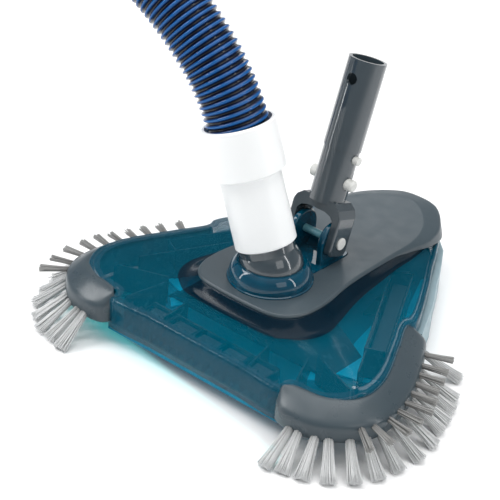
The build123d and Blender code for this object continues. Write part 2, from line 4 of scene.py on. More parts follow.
import bmesh
import bpy
from mathutils import Matrix, Vector


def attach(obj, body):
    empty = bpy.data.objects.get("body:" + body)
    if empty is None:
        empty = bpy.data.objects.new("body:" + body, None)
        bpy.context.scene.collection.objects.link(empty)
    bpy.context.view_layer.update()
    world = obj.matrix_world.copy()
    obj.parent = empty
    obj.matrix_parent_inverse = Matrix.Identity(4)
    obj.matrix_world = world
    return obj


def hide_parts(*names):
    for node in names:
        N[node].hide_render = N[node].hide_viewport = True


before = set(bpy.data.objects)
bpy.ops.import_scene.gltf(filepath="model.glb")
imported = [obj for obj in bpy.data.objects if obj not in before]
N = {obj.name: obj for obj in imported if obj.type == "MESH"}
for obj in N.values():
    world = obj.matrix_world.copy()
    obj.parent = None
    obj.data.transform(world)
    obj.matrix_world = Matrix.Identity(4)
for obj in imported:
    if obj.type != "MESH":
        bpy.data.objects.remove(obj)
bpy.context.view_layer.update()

MM = 0.001
Y0 = -2.7                      # the frame's offset along Y, in mm, as in the CAD
rng = random.Random(7)


def V(x, y, z):
    return Vector((x * MM, (y + Y0) * MM, z * MM))


# ---------------------------------------------------------------------------
# camera at the photograph's angle
# ---------------------------------------------------------------------------
AZ, EL, ROLL, DIST, FPX = 38.44, 30.72, 4.5, 1370.51, 1813.23
TARGET = (-44.65, -1.43, 48.16)
a, e, r = math.radians(AZ), math.radians(EL), math.radians(ROLL)
back = Vector((math.sin(a) * math.cos(e), -math.cos(a) * math.cos(e), math.sin(e)))
right = Vector((math.cos(a), math.sin(a), 0.0))
up = back.cross(right)
right_r = right * math.cos(r) + up * math.sin(r)
up_r = up * math.cos(r) - right * math.sin(r)
loc = V(*TARGET) + back * DIST * MM
cam_data = bpy.data.cameras.new("camera")
cam_data.sensor_fit = "HORIZONTAL"
cam_data.sensor_width = 36.0
cam_data.lens = FPX / 500.0 * 36.0
cam_data.clip_start = 0.05
cam_data.clip_end = 20.0
cam = bpy.data.objects.new("camera", cam_data)
bpy.context.collection.objects.link(cam)
m = Matrix.Identity(4)
for i in range(3):
    m[i][0], m[i][1], m[i][2], m[i][3] = right_r[i], up_r[i], back[i], loc[i]
cam.matrix_world = m
bpy.context.scene.camera = cam


# ---------------------------------------------------------------------------
# materials
# ---------------------------------------------------------------------------
def material(name, color, rough=0.45, spec=0.5, metal=0.0, color2=None, mottle=120.0,
             grain=None, grain_depth=0.00004, rough_var=0.08, transmission=0.0, ior=1.46,
             coat=0.0, coat_rough=0.08, scratch=0.0, sub=0.0, alpha=1.0, attr=None, attr_colors=None):
    mt = bpy.data.materials.new(name)
    mt.use_nodes = True
    nt = mt.node_tree
    nt.nodes.clear()
    out = nt.nodes.new("ShaderNodeOutputMaterial")
    b = nt.nodes.new("ShaderNodeBsdfPrincipled")
    nt.links.new(b.outputs[0], out.inputs[0])
    b.inputs["Metallic"].default_value = metal
    b.inputs["IOR"].default_value = ior
    b.inputs["Specular IOR Level"].default_value = spec
    b.inputs["Transmission Weight"].default_value = transmission
    b.inputs["Coat Weight"].default_value = coat
    b.inputs["Coat Roughness"].default_value = coat_rough
    b.inputs["Alpha"].default_value = alpha
    if sub:
        b.inputs["Subsurface Weight"].default_value = sub
        b.inputs["Subsurface Radius"].default_value = (0.004, 0.004, 0.004)
        b.inputs["Subsurface Scale"].default_value = 1.0
    tc = nt.nodes.new("ShaderNodeTexCoord")
    # slow colour variation
    n1 = nt.nodes.new("ShaderNodeTexNoise")
    n1.inputs["Scale"].default_value = mottle
    n1.inputs["Detail"].default_value = 5.0
    n1.inputs["Roughness"].default_value = 0.6
    nt.links.new(tc.outputs["Object"], n1.inputs["Vector"])
    ramp = nt.nodes.new("ShaderNodeValToRGB")
    c2 = color2 or tuple(c * 0.86 for c in color)
    ramp.color_ramp.elements[0].position = 0.32
    ramp.color_ramp.elements[0].color = (*c2, 1)
    ramp.color_ramp.elements[1].position = 0.68
    ramp.color_ramp.elements[1].color = (*color, 1)
    nt.links.new(n1.outputs["Fac"], ramp.inputs["Fac"])
    col = ramp.outputs["Color"]
    if attr:
        at = nt.nodes.new("ShaderNodeAttribute")
        at.attribute_name = attr
        ar = nt.nodes.new("ShaderNodeValToRGB")
        els = ar.color_ramp.elements
        els[0].position, els[0].color = attr_colors[0][0], (*attr_colors[0][1], 1)
        els[1].position, els[1].color = attr_colors[-1][0], (*attr_colors[-1][1], 1)
        for pos, cc in attr_colors[1:-1]:
            el = els.new(pos)
            el.color = (*cc, 1)
        nt.links.new(at.outputs["Fac"], ar.inputs["Fac"])
        mx = nt.nodes.new("ShaderNodeMix")
        mx.data_type = "RGBA"
        mx.blend_type = "MULTIPLY"
        mx.inputs["Factor"].default_value = 1.0
        nt.links.new(ar.outputs["Color"], mx.inputs["A"])
        nt.links.new(col, mx.inputs["B"])
        col = mx.outputs["Result"]
    nt.links.new(col, b.inputs["Base Color"])
    # roughness variation
    n2 = nt.nodes.new("ShaderNodeTexNoise")
    n2.inputs["Scale"].default_value = mottle * 3.1
    n2.inputs["Detail"].default_value = 3.0
    nt.links.new(tc.outputs["Object"], n2.inputs["Vector"])
    mr = nt.nodes.new("ShaderNodeMapRange")
    mr.inputs["From Min"].default_value = 0.3
    mr.inputs["From Max"].default_value = 0.7
    mr.inputs["To Min"].default_value = max(0.02, rough - rough_var)
    mr.inputs["To Max"].default_value = min(1.0, rough + rough_var)
    nt.links.new(n2.outputs["Fac"], mr.inputs["Value"])
    nt.links.new(mr.outputs["Result"], b.inputs["Roughness"])
    if grain:
        n3 = nt.nodes.new("ShaderNodeTexNoise")
        n3.inputs["Scale"].default_value = grain
        n3.inputs["Detail"].default_value = 4.0
        n3.inputs["Roughness"].default_value = 0.65
        nt.links.new(tc.outputs["Object"], n3.inputs["Vector"])
        bp = nt.nodes.new("ShaderNodeBump")
        bp.inputs["Strength"].default_value = 0.6
        bp.inputs["Distance"].default_value = grain_depth
        nt.links.new(n3.outputs["Fac"], bp.inputs["Height"])
        nt.links.new(bp.outputs["Normal"], b.inputs["Normal"])
    mt.diffuse_color = (*color, 1)
    return mt


M = {
    "hull_clear": material("hull_clear", (0.0001, 0.1609, 0.2589), rough=0.045, rough_var=0.015, spec=0.16, alpha=0.22,
                           ior=1.49, color2=(0.0001, 0.1352, 0.2203), mottle=25.0, grain=60.0, grain_depth=0.00008),
    # near-black band where the deep interior behind the clear plastic lies in shade: painted shade
    "hull_band_painted_shade": material("hull_band_painted_shade", (0.0001, 0.0126, 0.0265), rough=0.13, rough_var=0.015, spec=0.12, alpha=0.86,
                          ior=1.49, color2=(0.0001, 0.0103, 0.0214), mottle=25.0),
    # the outer wall below the ridge: a darker, less clear copy of the hull plastic, painted shade
    "hull_wall_painted_shade": material("hull_wall_painted_shade", (0.0001, 0.0742, 0.1237), rough=0.07, rough_var=0.015, spec=0.28, alpha=0.74,
                          ior=1.49, color2=(0.0001, 0.0627, 0.1054), mottle=30.0, grain=60.0, grain_depth=0.00004),
    "hull_rib": material("hull_rib", (0.0003, 0.0216, 0.0338), rough=0.25, rough_var=0.04, spec=0.3, mottle=40.0,
                         color2=(0.0003, 0.0158, 0.0263), grain=500.0),
    "hull_deck": material("hull_deck", (0.0003, 0.1492, 0.1869), rough=0.3, spec=0.25, mottle=30.0,
                          color2=(0.0003, 0.1141, 0.1463), grain=500.0),
    "port_clear": material("port_clear", (0.0001, 0.0625, 0.1092), rough=0.03, rough_var=0.01, alpha=0.94, spec=0.38,
                           ior=1.49, color2=(0.0001, 0.0450, 0.0836), mottle=60.0, coat=0.22, coat_rough=0.02),
    "gray_plastic": material("gray_plastic", (0.0496, 0.0706, 0.0842), rough=0.38, color2=(0.0471, 0.0670, 0.0803),
                             mottle=30.0, grain=2600.0, grain_depth=0.000015, rough_var=0.05),
    "gray_gloss": material("gray_gloss", (0.0403, 0.0562, 0.0672), rough=0.15, color2=(0.0360, 0.0507, 0.0615),
                           mottle=40.0, grain=900.0, grain_depth=0.00001, rough_var=0.04, coat=0.8, coat_rough=0.05),
    "holder_plastic": material("holder_plastic", (0.0468, 0.0672, 0.0800), rough=0.30, color2=(0.0429, 0.0616, 0.0740),
                               mottle=30.0, grain=2400.0, grain_depth=0.000012, rough_var=0.05),
    "base_plastic": material("base_plastic", (0.0004, 0.180, 0.290), rough=0.35, spec=0.2, color2=(0.0003, 0.135, 0.225),
                             mottle=45.0, grain=700.0, grain_depth=0.00004),
    # bright cyan: painted glow of light passing through the clear hull
    "hull_glow": material("hull_glow", (0.0005, 0.56, 0.90), rough=0.35, spec=0.2, color2=(0.0004, 0.46, 0.76),
                          mottle=30.0, grain=500.0),
    "white_plastic": material("white_plastic", (0.945, 0.955, 0.950), rough=0.30, color2=(0.940, 0.950, 0.945),
                              mottle=16.0, grain=1400.0, grain_depth=0.000008, sub=0.12, rough_var=0.02),
    "button_white": material("button_white", (0.74, 0.74, 0.71), rough=0.38, color2=(0.68, 0.68, 0.65),
                             mottle=300.0, grain=1500.0, grain_depth=0.00003),
    "hose": material("hose_blue", (1.0, 1.0, 1.0), rough=0.14, spec=0.42, color2=(0.84, 0.87, 0.92), mottle=90.0,
                     rough_var=0.06, grain=1500.0, grain_depth=0.00003, attr="rib",
                     attr_colors=[(0.0, (0.002, 0.003, 0.008)), (0.42, (0.004, 0.008, 0.03)),
                                  (0.72, (0.0008, 0.045, 0.17)), (1.0, (0.001, 0.105, 0.34))]),
    # both bristle ramps run dark at the root to pale at the tip: painted shade where the tufts leave the holder; the
    # side tufts' ramp is darker overall
    "bristle": material("bristle", (1.0, 1.0, 1.0), rough=0.42, color2=(0.90, 0.90, 0.90), mottle=700.0,
                        sub=0.10, attr="along", attr_colors=[(0.0, (0.30, 0.31, 0.31)), (0.25, (0.56, 0.57, 0.57)),
                                                             (1.0, (0.74, 0.75, 0.75))]),
    "bristle_side": material("bristle_side", (1.0, 1.0, 1.0), rough=0.42, color2=(0.88, 0.88, 0.88), mottle=700.0,
                             sub=0.08, attr="along", attr_colors=[(0.0, (0.16, 0.16, 0.155)), (0.4, (0.24, 0.24, 0.235)),
                                                                  (1.0, (0.34, 0.34, 0.33))]),
    "skirt": material("skirt_pale", (0.3224, 0.4340, 0.4752), rough=0.50, color2=(0.2914, 0.3990, 0.4392), mottle=90.0,
                      grain=1200.0, grain_depth=0.00004, sub=0.2),
    "ballast_iron": material("ballast_iron", (0.020, 0.030, 0.040), rough=0.55, color2=(0.014, 0.022, 0.03),
                             mottle=300.0, grain=900.0, grain_depth=0.00015),
    "screw_steel": material("screw_steel", (0.60, 0.61, 0.62), rough=0.28, metal=1.0, mottle=500.0),
    "seal_rubber": material("seal_rubber", (0.015, 0.015, 0.018), rough=0.6, mottle=200.0),
    "pin_clear": material("pin_teal", (0.12, 0.30, 0.35), rough=0.25, color2=(0.09, 0.25, 0.30), mottle=300.0),
}

NODE_MAT = {
    "base_plate": "base_plastic", "base_screws": "screw_steel", "suction_duct": "hull_rib",
    "ballast_front": "ballast_iron", "ballast_left": "ballast_iron", "ballast_right": "ballast_iron",
    "top_cover": "gray_plastic", "port_collar": "port_clear", "port_seal": "seal_rubber",
    "ball_seat": "hull_rib", "hinge_bracket": "port_clear", "body_shell": "hull_clear",
    "brush_holder_left": "holder_plastic", "brush_holder_right": "holder_plastic",
    "side_skirt_left": "skirt", "side_skirt_right": "skirt", "handle_tube": "gray_gloss",
    "hinge_pin": "pin_clear", "pin_caps": "button_white", "clip_bridge": "button_white",
    "snap_leg_left": "button_white", "snap_leg_right": "button_white",
    "swivel_connector": "gray_gloss", "hose_cuff": "white_plastic", "hose_far_cuff": "white_plastic",
    "hose_tube": "hose", "floor_bristles_left": "bristle", "floor_bristles_right": "bristle",
    "side_bristles_left": "bristle", "side_bristles_right": "bristle",
}
for node, key in NODE_MAT.items():
    o = N[node]
    o.data.materials.clear()
    o.data.materials.append(M[key])


def piece(name, verts, faces, mat, smooth=True):
    me = bpy.data.meshes.new(name)
    me.from_pydata([tuple(v) for v in verts], [], faces)
    me.validate()
    me.update()
    o = bpy.data.objects.new(name, me)
    bpy.context.collection.objects.link(o)
    me.materials.append(M[mat])
    if smooth:
        for p in me.polygons:
            p.use_smooth = True
    return o


def normals_out(o):
    bm = bmesh.new()
    bm.from_mesh(o.data)
    bmesh.ops.recalc_face_normals(bm, faces=bm.faces)
    bm.to_mesh(o.data)
    bm.free()


# ---------------------------------------------------------------------------
# hose: wound ribbed tube along its route
# ---------------------------------------------------------------------------
BALL = (0.0, -31.7, 68.0)
AXIS = Vector((-0.33660, -0.04080, 0.94076)).normalized()
HOSE_START = 87.4


def on_axis(l):
    return V(*BALL) + AXIS * l * MM


ROUTE = [
    on_axis(HOSE_START),
    on_axis(HOSE_START + 22),
    V(-48.7, -37.6, 194.3),
    V(-68.0, -39.6, 219.6),
    V(-105.0, -43.5, 253.0),
    V(-174.0, -48.0, 292.0),
    V(-257.0, -51.0, 306.0),
    V(-340.0, -52.0, 288.0),
    V(-410.0, -50.0, 241.0),
    V(-457.0, -46.0, 171.0),
    V(-478.0, -42.0, 112.0),
    V(-514.0, -38.0, 66.0),
    V(-566.0, -34.0, 37.0),
    V(-626.0, -27.0, 24.5),
    V(-686.0, -11.0, 23.4),
    V(-742.0, 17.0, 23.6),
    V(-788.0, 58.0, 25.4),
    V(-822.0, 110.0, 27.4),
    V(-838.0, 158.0, 28.2),
]


def route_points(pts, res=40):
    cu = bpy.data.curves.new("route", "CURVE")
    cu.dimensions = "3D"
    sp = cu.splines.new("NURBS")
    sp.points.add(len(pts) - 1)
    for p, q in zip(sp.points, pts):
        p.co = (*q, 1.0)
    sp.use_endpoint_u = True
    sp.order_u = 3
    sp.resolution_u = res
    o = bpy.data.objects.new("route", cu)
    bpy.context.collection.objects.link(o)
    me = bpy.data.meshes.new_from_object(o)
    out = [v.co.copy() for v in me.vertices]
    bpy.data.objects.remove(o)
    bpy.data.curves.remove(cu)
    bpy.data.meshes.remove(me)
    return out


def resample(pts, step):
    acc = [0.0]
    for p, q in zip(pts, pts[1:]):
        acc.append(acc[-1] + (q - p).length)
    total = acc[-1]
    n = max(2, int(round(total / step)))
    out, j = [], 0
    for i in range(n + 1):
        s = total * i / n
        while j < len(acc) - 2 and acc[j + 1] < s:
            j += 1
        t = 0 if acc[j + 1] == acc[j] else (s - acc[j]) / (acc[j + 1] - acc[j])
        out.append(pts[j].lerp(pts[j + 1], min(1.0, max(0.0, t))))
    return out, total


def frames(pts):
    tang = []
    for i in range(len(pts)):
        t = pts[min(i + 1, len(pts) - 1)] - pts[max(i - 1, 0)]
        tang.append(t.normalized())
    n = tang[0].orthogonal().normalized()
    out = []
    for i, t in enumerate(tang):
        n = (n - t * n.dot(t)).normalized()
        out.append((t, n, t.cross(n)))
    return out


PITCH, SUBP = 5.1, 8
HOSE_R, HOSE_VALLEY, HOSE_RI = 23.0, 20.5, 19.6


def rib_profile(u):
    # 0 at the valley's floor, 1 on the flat crown of the rib
    u = u % 1.0
    w = 0.5 - 0.5 * math.cos(2 * math.pi * u)
    return min(1.0, max(0.0, (w ** 0.85)))


route = route_points(ROUTE)
line, hose_len = resample(route, PITCH * MM / SUBP)
fr = frames(line)
SEG = 56
verts, faces, rib = [], [], []
for i, (p, (t, nn, bb)) in enumerate(zip(line, fr)):
    s = hose_len * i / (len(line) - 1) / MM
    for k in range(SEG):
        th = 2 * math.pi * k / SEG
        u = s / PITCH - k / SEG
        w = rib_profile(u)
        rr = HOSE_VALLEY + (HOSE_R - HOSE_VALLEY) * w
        verts.append(p + (nn * math.cos(th) + bb * math.sin(th)) * rr * MM)
        rib.append(w)
nr = len(line)
for i in range(nr - 1):
    for k in range(SEG):
        k2 = (k + 1) % SEG
        faces.append((i * SEG + k, i * SEG + k2, (i + 1) * SEG + k2, (i + 1) * SEG + k))
# inner wall, coarser, joined at both ends
inner_idx = list(range(0, nr, SUBP // 2))
if inner_idx[-1] != nr - 1:
    inner_idx.append(nr - 1)
base = len(verts)
for i in inner_idx:
    p, (t, nn, bb) = line[i], fr[i]
    for k in range(SEG):
        th = 2 * math.pi * k / SEG
        verts.append(p + (nn * math.cos(th) + bb * math.sin(th)) * HOSE_RI * MM)
        rib.append(0.2)
for j in range(len(inner_idx) - 1):
    for k in range(SEG):
        k2 = (k + 1) % SEG
        faces.append((base + j * SEG + k, base + (j + 1) * SEG + k, base + (j + 1) * SEG + k2, base + j * SEG + k2))
last_in = base + (len(inner_idx) - 1) * SEG
for k in range(SEG):
    k2 = (k + 1) % SEG
    faces.append((k, base + k, base + k2, k2))
    faces.append(((nr - 1) * SEG + k, (nr - 1) * SEG + k2, last_in + k2, last_in + k))
hose = piece("hose", verts, faces, "hose")
at = hose.data.attributes.new("rib", "FLOAT", "POINT")
at.data.foreach_set("value", rib)
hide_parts("hose_tube")
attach(hose, "root")

# ---------------------------------------------------------------------------
# smooth outlines of the head, right half from front to rear, in mm
# ---------------------------------------------------------------------------
RIDGE = [(40, -114.5), (82, -114.5), (83, -107.5), (106, -105), (122, -96),
         (129.5, -79), (127, -57), (109, -16), (97, 10), (98.5, 18),
         (78, 61), (63, 87), (49, 113), (37, 132), (17, 152), (0, 158)]
FOOT = [(20, -78), (38, -76), (48, -71), (56, -63), (61, -52),
        (62, -40), (58.5, -25), (52.5, 0), (49.5, 20), (48, 32),
        (46, 62), (46, 85), (43, 107), (34, 127), (15, 147), (0, 152)]
BRIM = [(18, -71), (33, -69), (41, -64.5), (46.5, -57.5), (49.5, -49),
        (50.5, -39), (50, -25), (46, 0), (44.4, 20), (44.2, 32),
        (43.5, 62), (43.5, 82), (40, 101), (31, 119), (13, 137), (0, 141)]
HOOD = [(18, -71), (33, -69), (41, -64.5), (46.5, -57.5), (49.5, -49),
        (50.5, -39), (50, -25), (46.2, 0), (44.6, 20), (44.4, 32),
        (44.2, 62), (45.0, 84), (45.8, 104), (39.5, 127), (17, 153.0), (0, 156.6)]
SKIRTLINE = [(18, -71), (33, -69), (41, -64.5), (46.5, -57.5), (49.5, -49),
             (50.5, -39), (50, -25), (46.2, 0), (44.7, 20), (44.5, 32),
             (44.4, 62), (45.6, 85), (47.0, 106.5), (41.0, 130), (17, 155.4), (0, 158.9)]


def sym(half):
    return half + [(-x, y) for x, y in reversed(half) if x > 0.01]


def catmull(pts, n, closed=True):
    # centripetal Catmull-Rom through the points, n samples on each span
    out, m = [], len(pts)
    spans = m if closed else m - 1
    for i in range(spans):
        if closed:
            p0, p1, p2, p3 = pts[i - 1], pts[i], pts[(i + 1) % m], pts[(i + 2) % m]
        else:
            p1, p2 = pts[i], pts[i + 1]
            p0 = pts[i - 1] if i else tuple(2 * a_ - b_ for a_, b_ in zip(p1, p2))
            p3 = pts[i + 2] if i + 2 < m else tuple(2 * a_ - b_ for a_, b_ in zip(p2, p1))
        t0 = 0.0
        t1 = t0 + max(1e-6, math.dist(p0, p1)) ** 0.5
        t2 = t1 + max(1e-6, math.dist(p1, p2)) ** 0.5
        t3 = t2 + max(1e-6, math.dist(p2, p3)) ** 0.5
        for k in range(n):
            t = t1 + (t2 - t1) * k / n
            q = []
            for c0, c1, c2, c3 in zip(p0, p1, p2, p3):
                a1 = c0 * (t1 - t) / (t1 - t0) + c1 * (t - t0) / (t1 - t0)
                a2 = c1 * (t2 - t) / (t2 - t1) + c2 * (t - t1) / (t2 - t1)
                a3 = c2 * (t3 - t) / (t3 - t2) + c3 * (t - t2) / (t3 - t2)
                b1 = a1 * (t2 - t) / (t2 - t0) + a2 * (t - t0) / (t2 - t0)
                b2 = a2 * (t3 - t) / (t3 - t1) + a3 * (t - t1) / (t3 - t1)
                q.append(b1 * (t2 - t) / (t2 - t1) + b2 * (t - t1) / (t2 - t1))
            out.append(tuple(q))
    if not closed:
        out.append(tuple(pts[-1]))
    return out


RN = 9
ring_ridge = catmull(sym(RIDGE), RN)
ring_foot = catmull(sym(FOOT), RN)
ring_brim = catmull(sym(BRIM), RN)
ring_hood = catmull(sym(HOOD), RN)
ring_skirt = catmull(sym(SKIRTLINE), RN)


def inset(ring, d):
    # every point moved inwards by d along the outline's own normal
    out, n = [], len(ring)
    for i in range(n):
        (ax, ay), (cx, cy) = ring[i - 1], ring[(i + 1) % n]
        tx, ty = cx - ax, cy - ay
        l = math.hypot(tx, ty) or 1.0
        dd = d(ring[i]) if callable(d) else d
        out.append((ring[i][0] - ty / l * dd, ring[i][1] + tx / l * dd))
    return out


def smooth(t):
    t = min(1.0, max(0.0, t))
    return t * t * (3 - 2 * t)


def ridge_z(y):
    # the apron's front edge is low and climbs to the flanks
    z = 38.5 + 0.233 * (y + 114.5)
    k = 1.6
    h = min(1.0, max(0.0, 0.5 + 0.5 * (z - 45.0) / k))
    return z * (1 - h) + 45.0 * h - k * h * (1 - h)


def stack(rings, close_ends=False):
    # faces between rings of equal length, and their vertices
    vs, fs = [], []
    n = len(rings[0])
    for rg in rings:
        vs.extend(rg)
    for j in range(len(rings) - 1):
        for i in range(n):
            i2 = (i + 1) % n
            fs.append((j * n + i, j * n + i2, (j + 1) * n + i2, (j + 1) * n + i))
    if close_ends:
        last = (len(rings) - 1) * n
        for i in range(n):
            i2 = (i + 1) % n
            fs.append((last + i, last + i2, i2, i))
    return vs, fs


def at_z(ring, z):
    return [V(x, y, z(y) if callable(z) else z) for x, y in ring]


def between(ra, rb, f):
    return [(xa + (xb - xa) * f, ya + (yb - ya) * f) for (xa, ya), (xb, yb) in zip(ra, rb)]


# ---------------------------------------------------------------------------
# clear hull: one closed wall with a rolled ridge
# ---------------------------------------------------------------------------
def lip(d, dz):
    return at_z(inset(ring_ridge, d), lambda y: ridge_z(y) + dz)


def apron(f, dz=0.0):
    ra = inset(ring_ridge, 4.2)
    out = []
    for (xa, ya), (xb, yb) in zip(ra, ring_foot):
        za = ridge_z(ya) - 1.1
        out.append(V(xa + (xb - xa) * f, ya + (yb - ya) * f, za + (47.0 - za) * f + dz))
    return out


outer = [at_z(ring_ridge, 14.0), at_z(ring_ridge, 20.0), lip(0.0, -9.0), lip(0.0, -3.6), lip(0.25, -1.9),
         lip(0.9, -0.7), lip(1.8, -0.1), lip(2.6, -0.35), lip(3.2, -0.85), apron(0.0)]
outer += [apron(f) for f in (0.06, 0.2, 0.4, 0.6, 0.8, 0.93)]
outer += [at_z(between(ring_foot, ring_brim, 0.0), 47.1), at_z(between(ring_foot, ring_brim, 0.22), 48.2),
          at_z(between(ring_foot, ring_brim, 0.6), 51.4), at_z(between(ring_foot, ring_brim, 0.92), 54.1),
          at_z(ring_brim, 54.9)]
inner = [at_z(inset(ring_brim, 3.0), 54.9), at_z(inset(ring_brim, 2.4), 52.6),
         at_z(inset(between(ring_foot, ring_brim, 0.5), 2.4), 48.4), at_z(inset(ring_foot, 1.6), 44.6)]
inner += [[v - Vector((0, 0, 2.4 * MM)) for v in apron(f)] for f in (0.9, 0.6, 0.3, 0.08)]
inner += [lip(3.6, -3.4), lip(2.7, -5.2), lip(2.6, -9.0), at_z(inset(ring_ridge, 2.6), 20.0),
          at_z(inset(ring_ridge, 2.6), 14.0)]
vs, fs = stack(outer + inner, close_ends=True)
hull = piece("hull", vs, fs, "hull_clear")
hull.data.materials.append(M["hull_band_painted_shade"])
hull.data.materials.append(M["hull_wall_painted_shade"])
n0 = len(ring_ridge)
for p in hull.data.polygons:
    row, col = divmod(min(p.vertices), n0)
    # rows from the apron's top up to the brim take the band of painted shade
    if 15 <= row <= 19:
        p.material_index = 1
    # rows from the wall's foot over the ridge's lip take the darker copy of the plastic: painted shade
    elif row <= 9:
        p.material_index = 2
normals_out(hull)
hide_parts("body_shell")
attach(hull, "root")

# ---------------------------------------------------------------------------
# moulded ribs and pockets seen through the hull
# ---------------------------------------------------------------------------
rv, rf = [], []


def slab(cx, cy, dx, dy, length, width, z0, z1a, z1b=None):
    # upright bar along (dx, dy); its top may slope from z1a to z1b
    z1b = z1a if z1b is None else z1b
    l = math.hypot(dx, dy)
    ux, uy = dx / l, dy / l
    px, py = -uy, ux
    b = len(rv)
    for z_side in (0, 1):
        for su, sp in ((-1, -1), (1, -1), (1, 1), (-1, 1)):
            z = z0 if not z_side else (z1a if su < 0 else z1b)
            rv.append(V(cx + ux * su * length / 2 + px * sp * width / 2, cy + uy * su * length / 2 + py * sp * width / 2, z))
    rf.extend([(b, b + 3, b + 2, b + 1), (b + 4, b + 5, b + 6, b + 7), (b, b + 1, b + 5, b + 4),
               (b + 1, b + 2, b + 6, b + 5), (b + 2, b + 3, b + 7, b + 6), (b + 3, b, b + 4, b + 7)])


def pocket(cx, cy, dx, dy, length, width, z0, z1, t=1.3):
    l = math.hypot(dx, dy)
    ux, uy = dx / l, dy / l
    px, py = -uy, ux
    for sgn in (-1, 1):
        slab(cx + px * sgn * width / 2, cy + py * sgn * width / 2, dx, dy, length + t, t, z0, z1)
        slab(cx + ux * sgn * length / 2, cy + uy * sgn * length / 2, px, py, width - t, t, z0, z1)


for i in range(-8, 9):
    slab(i * 8.6, -106.9, 0, 1, 9.0, 1.5, 14.2, 31.0, 35.0)
for sx in (-1, 1):
    pocket(sx * 73, 20, sx * 0.451, -0.893, 111, 16, 14.2, 40.5)
    slab(sx * 88.5, -26, sx * 0.451, -0.893, 74, 1.4, 14.2, 39.5)
    slab(sx * 92, -70, sx * 0.9, -0.35, 44, 1.4, 14.2, 38.0)
    slab(sx * 74, -84, sx * 0.35, -0.93, 34, 1.4, 14.2, 38.0, 33.0)
    slab(sx * 40, -88, sx * 0.10, -0.99, 24, 1.4, 14.2, 38.0, 33.5)
for cx in (-48, -24, 0, 24, 48):
    pocket(cx, -96.5, 1, 0, 22.4, 15.4, 14.2, 33.0, 1.1)
deck_v, deck_f = [], []


def deck(pts, z0, z1):
    b, n = len(deck_v), len(pts)
    for z in (z0, z1):
        deck_v.extend(V(x, y, z) for x, y in pts)
    deck_f.append(tuple(reversed(range(b, b + n))))
    deck_f.append(tuple(range(b + n, b + 2 * n)))
    for i in range(n):
        i2 = (i + 1) % n
        deck_f.append((b + i, b + i2, b + n + i2, b + n + i))


deck([(-78, -111), (78, -111), (70, -84), (-70, -84)], 14.1, 16.0)
for sx in (-1, 1):
    one = [(118, -92), (124, -78), (122, -62), (112, -40), (88, -48), (78, -70), (80, -101)]
    two = [(50, 40), (52, 66), (40, 100), (30, 100), (34, 62), (40, 34)]
    for poly in (one, two):
        pts = [(sx * x, y) for x, y in poly]
        deck(pts if sx > 0 else list(reversed(pts)), 14.1, 16.0)
dk = piece("hull_decks", deck_v, deck_f, "hull_deck", smooth=False)
normals_out(dk)
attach(dk, "root")
# bright plates along the flanks in the glow colour: painted glow of light through the clear hull
deck_v, deck_f = [], []
for sx in (-1, 1):
    one = [(95, 11), (78, 50), (62, 78), (50, 104), (44, 112), (42, 106), (54, 78), (60, 58), (84, 8)]
    two = [(108, -18), (98, 4), (84, 2), (66, 36), (56, 62), (52, 40), (60, 0), (74, -44), (100, -36)]
    three = [(66, -64), (74, -56), (58, -8), (56, -44)]
    for poly in (one, two, three):
        pts = [(sx * x, y) for x, y in poly]
        deck(pts if sx > 0 else list(reversed(pts)), 14.1, 15.4)
gl = piece("hull_glow_floor", deck_v, deck_f, "hull_glow", smooth=False)
normals_out(gl)
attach(gl, "root")
ribs = piece("hull_ribs", rv, rf, "hull_rib", smooth=False)
bv = ribs.modifiers.new("edge", "BEVEL")
bv.width = 0.25 * MM
bv.segments = 1
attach(ribs, "root")

# ---------------------------------------------------------------------------
# gray cover: flat plate in front, a hood over the rear corner
# ---------------------------------------------------------------------------


def edge_z(y):
    return 55.0 - max(0.0, 0.167 * (y - 62.0)) * smooth((y - 54) / 20)


def hood_z(y):
    f = smooth((y - 48) / 55)
    return 56.0 - 2.8 * f


def hood_w(y):
    return smooth((y - 48) / 55)


def soft(f, dz):
    # between the flat top's edge and the hood's shoulder
    out = []
    for (xa, ya), (xb, yb) in zip(inset(ring_brim, 1.5), ring_hood):
        w = hood_w(ya)
        z0, z1 = 57.6, hood_z(ya)
        z = z0 + (z1 - z0) * f ** (1.0 + 0.5 * (1 - w)) + dz
        out.append(V(xa + (xb - xa) * f, ya + (yb - ya) * f, z))
    return out


def fall(f, d=0.0):
    # from the shoulder down to the lower edge
    out = []
    sk, hd = inset(ring_skirt, d), inset(ring_hood, d)
    for (xa, ya), (xb, yb) in zip(hd, sk):
        za, zb = hood_z(ya) - 0.0, edge_z(yb)
        out.append(V(xa + (xb - xa) * f, ya + (yb - ya) * f, za + (zb - za) * f))
    return out


top_in = at_z(inset(ring_brim, 3.4), 57.6)
cov = [top_in, at_z(inset(ring_brim, 1.9), 57.6), soft(0.0, 0.0), soft(0.25, 0.05), soft(0.55, 0.12), soft(0.8, 0.12),
       soft(0.93, 0.0), fall(0.06, -0.05), fall(0.25), fall(0.55), fall(0.85), fall(0.97, 0.12), fall(1.0, 0.5),
       fall(1.0, 1.8), fall(0.6, 2.3), fall(0.1, 2.6), at_z(inset(ring_brim, 3.4), 55.02)]
vs, fs = stack(cov)
n_ring = len(ring_brim)
cover = piece("cover", vs, fs, "gray_plastic")
bm = bmesh.new()
bm.from_mesh(cover.data)
bm.verts.ensure_lookup_table()


def loop_of(points):
    vv = [bm.verts.new(p) for p in points]
    return vv


def port_hole(z):
    return [V(31.9 * math.cos(2 * math.pi * i / 72), -31.7 + 31.9 * math.sin(2 * math.pi * i / 72), z) for i in range(72)]


def bracket_hole(z):
    out = []
    hx, y0_, y1_, rr = 20.0, 1.0, 38.0, 5.0
    for cx, cy, a0 in ((hx - rr, y1_ - rr, 0), (-hx + rr, y1_ - rr, 90), (-hx + rr, y0_ + rr, 180), (hx - rr, y0_ + rr, 270)):
        for i in range(7):
            th = math.radians(a0 + 15 * i)
            out.append(V(cx + rr * math.cos(th), cy + rr * math.sin(th), z))
    return out


